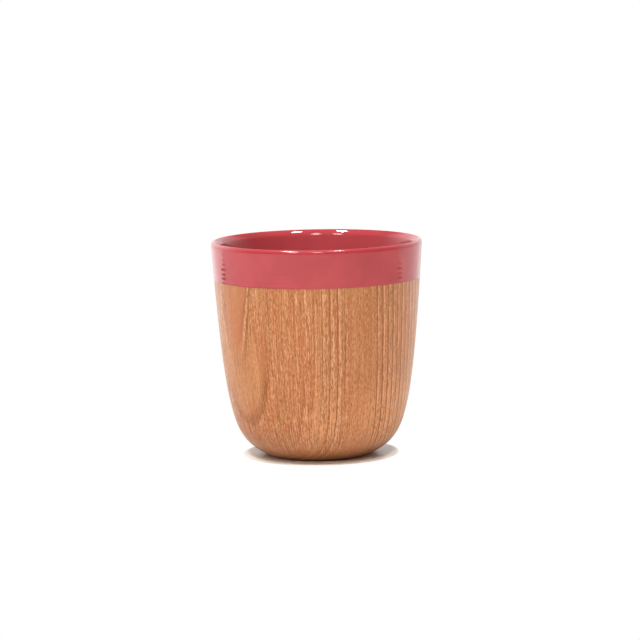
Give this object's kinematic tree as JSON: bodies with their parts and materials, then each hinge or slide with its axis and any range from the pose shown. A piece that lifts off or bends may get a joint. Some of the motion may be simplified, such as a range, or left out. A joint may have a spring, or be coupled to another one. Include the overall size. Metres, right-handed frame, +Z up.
{
  "type": "espresso cup",
  "caption": "Turned wooden espresso cup with a rounded belly, glossy lacquer inside, over the lip and in a band round the rim, and clear-coated wood below; holds a small hot drink.",
  "frame": {"origin": "middle of the foot, on the surface that the cup stands on", "axes": "+Z up along the turning axis; +Y away from the picture's camera, +X to its right"},
  "size_m": [0.065, 0.065, 0.0662],
  "materials": {
    "turned_wood": "open-pored hardwood, grain upright",
    "sealing_undercoat": "matt pore filler",
    "coloured_lacquer": "glossy rose-red lacquer",
    "clear_lacquer": "thin clear satin-gloss lacquer"
  },
  "bodies": {
    "root": {"wood_body": "turned_wood", "undercoat": "sealing_undercoat", "lacquer_lining": "coloured_lacquer", "lacquer_band": "coloured_lacquer", "clear_coat": "clear_lacquer"}
  },
  "joints": []
}
